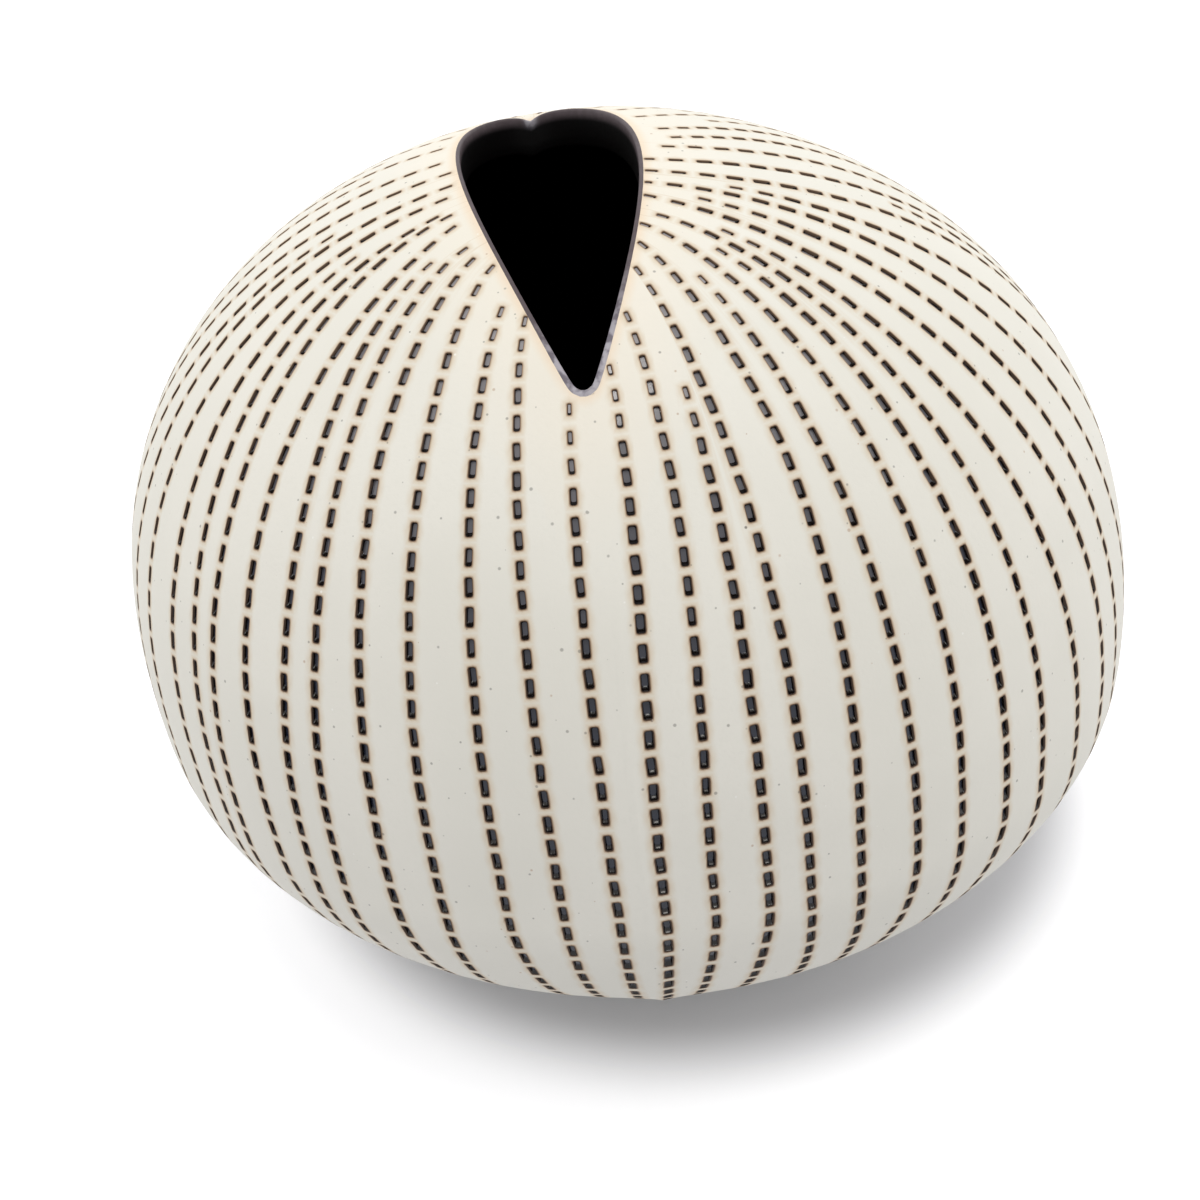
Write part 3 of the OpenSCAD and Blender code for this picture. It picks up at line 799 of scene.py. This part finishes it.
def ripple_group():
    """The slight waves of a melted glaze, as a normal, and its cloudy thick and thin places."""
    group = bpy.data.node_groups.new("melted_glaze", "ShaderNodeTree")
    group.interface.new_socket("Scale", in_out="INPUT", socket_type="NodeSocketFloat")
    group.interface.new_socket("Strength", in_out="INPUT", socket_type="NodeSocketFloat")
    group.interface.new_socket("Normal", in_out="OUTPUT", socket_type="NodeSocketVector")
    group.interface.new_socket("Clouds", in_out="OUTPUT", socket_type="NodeSocketFloat")
    given, result = group.nodes.new("NodeGroupInput"), group.nodes.new("NodeGroupOutput")
    place = add_node(group, "TexCoord").outputs["Object"]
    noise = add_node(group, "TexNoise", Vector=place, Scale=given.outputs["Scale"], Detail=3.0)
    bump = add_node(group, "Bump", Height=noise.outputs["Fac"], Strength=given.outputs["Strength"],
                    Distance=0.00005)
    group.links.new(bump.outputs[0], result.inputs["Normal"])
    group.links.new(noise.outputs["Fac"], result.inputs["Clouds"])
    return group


melted_glaze = ripple_group()


def glaze_ripple(tree, scale, strength):
    """The melted glaze's waves and clouds, at a scale and a strength of their own."""
    node = tree.nodes.new("ShaderNodeGroup")
    node.node_tree = melted_glaze
    node.inputs["Scale"].default_value = scale
    node.inputs["Strength"].default_value = strength
    return node


BLACK, SOFT_BLACK = (0.0015, 0.0013, 0.0013, 1), (0.004, 0.0035, 0.0035, 1)
black_glaze, tree, shader = new_material("black_glaze")
ripple = glaze_ripple(tree, 300.0, 0.3)
colour = mixed(tree, ripple.outputs["Clouds"], BLACK, SOFT_BLACK)
set_finish(tree, shader, colour, ripple.outputs["Normal"], roughness=0.35, specular=0.12)
lining.data.materials.append(black_glaze)

# The glaze on the mouth's cut edge. It is the same glaze, which has run thin over the cut and
# turned purple-brown. Round the narrow end the cut is flat and wide. There, and at the notch in
# the blunt end, a pale grey is painted on the lip as a highlight.
RIM_AROUND, RIM_CROWDING = 240, 1.6
RIM_WIDTH, RIM_WIDER, RIM_HIGHER, RIM_OUT, RIM_REACH = 1.7, 0.7, 0.5, 0.14, (60, 80)
RIM_WALL, WALL_FROM, NOTCH_HIGHLIGHT, NOTCH_REACH_ANGLE = 2.75, -0.5, 0.8, 5
rim_profile = np.array([
    (0.05, 0.0), (0.03, 0.03), (-0.02, 0.04), (-0.08, 0.01), (-0.12, -0.07), (-0.14, -0.2),
    (-0.15, -0.5), (-0.15, -0.85), (-0.15, -1.3), (-0.15, -2.0), (-0.15, -2.8), (-0.1, -3.0),
    (0.1, -2.8), (0.12, -1.5), (0.14, -0.35)])
rim_angle = crowded(np.linspace(-1, 1, RIM_AROUND + 1)[:-1], RIM_CROWDING)
rim_reach = np.where(rim_angle < 0, *RIM_REACH)
rim_wide = (1 + np.cos(np.pi * (np.abs(rim_angle) / rim_reach).clip(0, 1))) / 2
rim_rings = []
for grow, up in rim_profile:
    grow = grow * (RIM_WIDTH + RIM_WIDER * rim_wide) + RIM_OUT * rim_wide
    plan = mouth_edge(rim_angle, grow[:, None])[0]
    top = above(plan)
    wall_share = (top - above(plan, WALL + LINING))[:, 2] / RIM_WALL
    up = up * np.where(up > 0, 1 + RIM_HIGHER * rim_wide, np.where(up < WALL_FROM, wall_share, 1))
    rim_rings.append(hand_shaped(top)[0] + up[:, None] * [0, 0, 1])
rim_points = np.concatenate(rim_rings)
rim_ids = np.arange(rim_points.shape[0]).reshape(len(rim_profile), -1)
rim_faces = np.concatenate([
    ring_quads(*pair) for pair in zip(np.roll(rim_ids, -1, axis=0), rim_ids)])
# Painted highlight: a pale grey on the lip round the narrow end and at the notch in the blunt end.
from_notch = (180 - np.abs(rim_angle)) / NOTCH_REACH_ANGLE
painted_rim_highlight = np.maximum(rim_wide, NOTCH_HIGHLIGHT * np.exp(-(from_notch**2)))
rim = new_piece("mouth_rim", rim_points, rim_faces, attributes=[
    ("below_lip", np.repeat(-rim_profile[:, 1], RIM_AROUND)),
    ("painted_rim_highlight", np.tile(painted_rim_highlight, len(rim_profile)))])
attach(rim, "root")
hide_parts("rim_glaze")

PURPLE_BROWN, PURPLE_GREY = (0.075, 0.058, 0.063, 1), (0.14, 0.112, 0.122, 1)
HIGHLIGHT_GREY, HIGHLIGHT_PALE = (0.17, 0.155, 0.185, 1), (0.42, 0.40, 0.44, 1)
# Near black for the inner wall under the lip: the black lining glaze and painted shade together.
UNDER_LIP_BLACK_AND_SHADE = (0.002, 0.0015, 0.0015, 1)
rim_glaze, tree, shader = new_material("purple_brown_glaze")
ripple = glaze_ripple(tree, 1300.0, 0.3)
clouds = ripple.outputs["Clouds"]
colour = mixed(tree, clouds, PURPLE_BROWN, PURPLE_GREY)
# The painted highlight's greys, cloudy like the glaze.
pale = mixed(tree, fall_off(tree, clouds, 0.6, 0.4), HIGHLIGHT_GREY, HIGHLIGHT_PALE)
colour = mixed(tree, fall_off(tree, attribute(tree, "painted_rim_highlight"), 0.8, 0.1), colour, pale)
# Below the lip the inner wall turns near black: partly the black lining glaze, partly painted shade
# of the deep wall.
colour = mixed(tree, fall_off(tree, attribute(tree, "below_lip"), 0.95, 0.25), colour, UNDER_LIP_BLACK_AND_SHADE)
set_finish(tree, shader, colour, ripple.outputs["Normal"], roughness=0.45, specular=0.12)
rim.data.materials.append(rim_glaze)

# The dashes. Dark glaze was wiped into each pit, where it melted to a glossy skin, brown and thin
# on the steep walls and slate blue where it pools on the floor, and it ran to a soft slope at the
# lower end. Each row of them is one piece.
GLAZE_TOP, GLAZE_UP, GLAZE_IN, GLAZE_RAMP, GLAZE_SHARE = 0.035, 0.05, 0.085, 0.24, 0.42
GLAZE_OUT, UNDER_OUT, UNDER_DOWN, HIGH_THINNER = 0.02, 0.01, 0.03, 0.5
HIGH_PALE, SMALL_PALE, GLAZE_POINTS = 0.8, 0.6, 28
STEEP, EASED_TOP, EASED = 2.8, 3.2, 0.7
lower_end = np.isin(np.arange(12), (7, 8, 9, 10))
glaze_faces, corner_up, corner_in = [], [], []


def glaze_face(corners, up, lean_in):
    """Notes one triangle of a dash and, at each corner, how its normal leans into the pit."""
    glaze_faces.append(corners)
    corner_up.append((up,) * 3)
    corner_in.append(lean_in)


for j in range(12):
    j2 = (j + 1) % 12
    top, top2 = (EASED_TOP if lower_end[k] else STEEP for k in (j, j2))
    foot, foot2 = (EASED if lower_end[k] else STEEP for k in (j, j2))
    glaze_face((j, j2, 12 + j2), 1, (top, top2, foot2))
    glaze_face((j, 12 + j2, 12 + j), 1, (top, foot2, foot))
for j in range(1, 11):
    glaze_face((12, 12 + j, 13 + j), 1, (0, 0, 0))
for k in range(4):
    e, after = 3 * k, (3 * k + 3) % 12
    for corners in ((24 + k, e + 1, e), (24 + k, e + 2, e + 1), (24 + k, after, e + 2),
                    (after, 24 + k, 24 + (k + 1) % 4)):
        glaze_face(corners, -1, (0, 0, 0))
for corners in ((24, 26, 25), (24, 27, 26)):
    glaze_face(corners, -1, (0, 0, 0))
glaze_faces = np.array(glaze_faces)
corner_up, corner_in = np.array(corner_up)[..., None], np.array(corner_in)[..., None]

# The pale grey is a painted reflection, laid on the pit floors near the mouth.
SLATE, POOL_SHEEN_GREY = (0.0012, 0.0065, 0.025, 1), (0.36, 0.342, 0.355, 1)
BURNT = (0.004, 0.002, 0.0015, 1)
dash_glaze, tree, shader = new_material("dash_glaze")
ripple = glaze_ripple(tree, 1500.0, 0.06)
pool = mixed(tree, attribute(tree, "painted_pool_sheen"), SLATE, POOL_SHEEN_GREY)
colour = mixed(tree, fall_off(tree, attribute(tree, "in_pit"), 0.98, 0.8), BURNT, pool)
set_finish(tree, shader, colour, ripple.outputs["Normal"], roughness=0.2, specular=0.45)

for i, (middle, half_long, half_wide, deep, tilt) in enumerate(row_dashes):
    thinner = 1 - HIGH_THINNER * high_up(np.interp(middle, row_run[i], row_lines[i][:, 2]))
    glaze_in = np.minimum(GLAZE_IN, GLAZE_SHARE * half_wide) * thinner
    lower_half = dash_ring(deep, deep, tilt, 0)[1] < 0
    ramp = np.minimum(GLAZE_RAMP, GLAZE_SHARE * half_long)[:, None] * lower_half
    x, y, turn = dash_ring(half_long, half_wide, tilt, GLAZE_OUT)
    rings = [(middle[:, None] - y, x, np.full(x.shape, GLAZE_TOP), turn)]
    x, y, turn = dash_ring(half_long - glaze_in, half_wide - glaze_in, tilt, 0)
    rings.append((middle[:, None] - y - ramp, x, 0 * x + (deep - GLAZE_UP)[:, None], turn))
    y, x = pit_corners(half_long, half_wide, UNDER_OUT)
    rings.append((middle[:, None] - y, x, 0 * x + (deep + UNDER_DOWN)[:, None], 0 * x))
    run, x, down, turn = (np.concatenate(v, 1).ravel() for v in zip(*rings))
    p, ahead, across = beside_row(np.full(run.size, i), run, x)
    p, n = hand_shaped(p)
    inward = into_pit(turn, ahead, across)
    faces = GLAZE_POINTS * np.arange(len(middle))[:, None, None] + glaze_faces
    normal = unit(n[faces] * corner_up + inward[faces] * corner_in)
    in_pit_value = np.tile(np.repeat([0.0, 1.0, 1.0], [12, 12, 4]), len(middle))
    # Painted reflection: the floor is paler high up near the mouth, and more so in the small dashes
    # there.
    small = (1 - half_wide / DASH_WIDE).clip(0, SMALL_PALE)
    high = high_up(p.reshape(-1, GLAZE_POINTS, 3)[:, 0, 2])
    painted_pool_sheen = np.repeat((HIGH_PALE * high**2 + small * high).clip(0, 1), GLAZE_POINTS)
    dashes = new_piece(f"dashes_{i + 1:02d}", p - n * down[:, None], faces.reshape(-1, 3),
                       normal.reshape(-1, 3), [("in_pit", in_pit_value), ("painted_pool_sheen", painted_pool_sheen)])
    dashes.data.materials.append(dash_glaze)
    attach(dashes, "root")
    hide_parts(f"dash_row_{i + 1:02d}")

# The floor. The pot stands on plain white paper under soft light, which shows only its shadow.
# Round the foot the paper's glow is turned down in a disc, as a painted shadow.
floor_mesh = bpy.data.meshes.new("floor")
FLOOR_HALF = 3.0
corner_signs = ((-1, -1), (1, -1), (1, 1), (-1, 1))
floor_corners = [(FLOOR_HALF * x, FLOOR_HALF * y, 0) for x, y in corner_signs]
floor_mesh.from_pydata(floor_corners, [], [(0, 1, 2, 3)])
floor = bpy.data.objects.new("floor", floor_mesh)
bpy.context.scene.collection.objects.link(floor)
floor.location.z = -0.05 * MM
paper, tree, shader = new_material("white_paper")
shader.inputs["Base Color"].default_value = (0.62, 0.625, 0.655, 1)
shader.inputs["Roughness"].default_value = 0.9
shader.inputs["Specular IOR Level"].default_value = 0.0
# The painted shadow: the glow falls from far to near within this disc round a point beside the
# foot.
SHADOW_AT, SHADOW_FROM, SHADOW_TO = (0.004, 0.004, 0.0), 0.0365, 0.0455
FAR_GLOW, NEAR_GLOW = 0.55, 0.05
path = add_node(tree, "LightPath")
seen = maths(tree, "MAXIMUM", path.outputs["Is Camera Ray"], path.outputs["Is Glossy Ray"])
place = add_node(tree, "TexCoord").outputs["Object"]
away = add_node(tree, "VectorMath", {"operation": "DISTANCE"}, n0=place, n1=SHADOW_AT)
nearness = fall_off(tree, away.outputs["Value"], SHADOW_FROM, SHADOW_TO)
glow = add_node(tree, "Emission", Color=(1, 1, 1, 1))
strength = mapped(tree, nearness, 0.0, 1.0, FAR_GLOW, NEAR_GLOW)
tree.links.new(maths(tree, "MULTIPLY", seen, strength), glow.inputs["Strength"])
both = add_node(tree, "AddShader")
tree.links.new(shader.outputs[0], both.inputs[0])
tree.links.new(glow.outputs[0], both.inputs[1])
output = next(n for n in tree.nodes if n.type == "OUTPUT_MATERIAL")
tree.links.new(both.outputs[0], output.inputs["Surface"])
floor.data.materials.append(paper)

# The light. Soft boxes hang at the pot's sides and over its front, and the white room fills the
# rest. It is dimmest in front, where the photographer stands. The room is seen as white by the
# camera and by the glaze.
world = bpy.data.worlds.new("white_room")
world.use_nodes = True
bpy.context.scene.world = world
tree = world.node_tree
room = next(n for n in tree.nodes if n.type == "BACKGROUND")
room.inputs["Color"].default_value = (1, 1, 1, 1)
path = add_node(tree, "LightPath")
straight = maths(tree, "MAXIMUM", path.outputs["Is Camera Ray"], path.outputs["Is Glossy Ray"])
straight = maths(tree, "MAXIMUM", straight, path.outputs["Is Transmission Ray"])
FRONT, BACK, FRONT_LIGHT, BACK_LIGHT = -1.0, 0.3, 0.41, 1.12
sky = add_node(tree, "SeparateXYZ", Vector=add_node(tree, "TexCoord").outputs["Generated"])
dim = mapped(tree, sky.outputs["Y"], FRONT, BACK, FRONT_LIGHT, BACK_LIGHT)
tree.links.new(mapped(tree, straight, 0.0, 1.0, dim, 1.0), room.inputs["Strength"])

LAMPS = [("left_box", (-0.5, -0.1, 0.5), 0.5, 0.6), ("right_box", (0.5, -0.1, 0.5), 0.5, 0.64),
         ("front_box", (0.05, -0.17, 0.72), 0.2, 0.8)]
LAMP_COLOUR, LAMP_AIM = (1.0, 0.97, 0.91), Vector((0, 0, 0.03))
for name, at, size, power in LAMPS:
    lamp = bpy.data.lights.new(name, "AREA")
    lamp.shape = "DISK"
    lamp.size = size
    lamp.energy = power
    lamp.color = LAMP_COLOUR
    holder = bpy.data.objects.new(name, lamp)
    bpy.context.scene.collection.objects.link(holder)
    holder.location = at
    holder.rotation_euler = (LAMP_AIM - Vector(at)).to_track_quat("-Z", "Y").to_euler()

bpy.context.scene.view_settings.view_transform = "Standard"
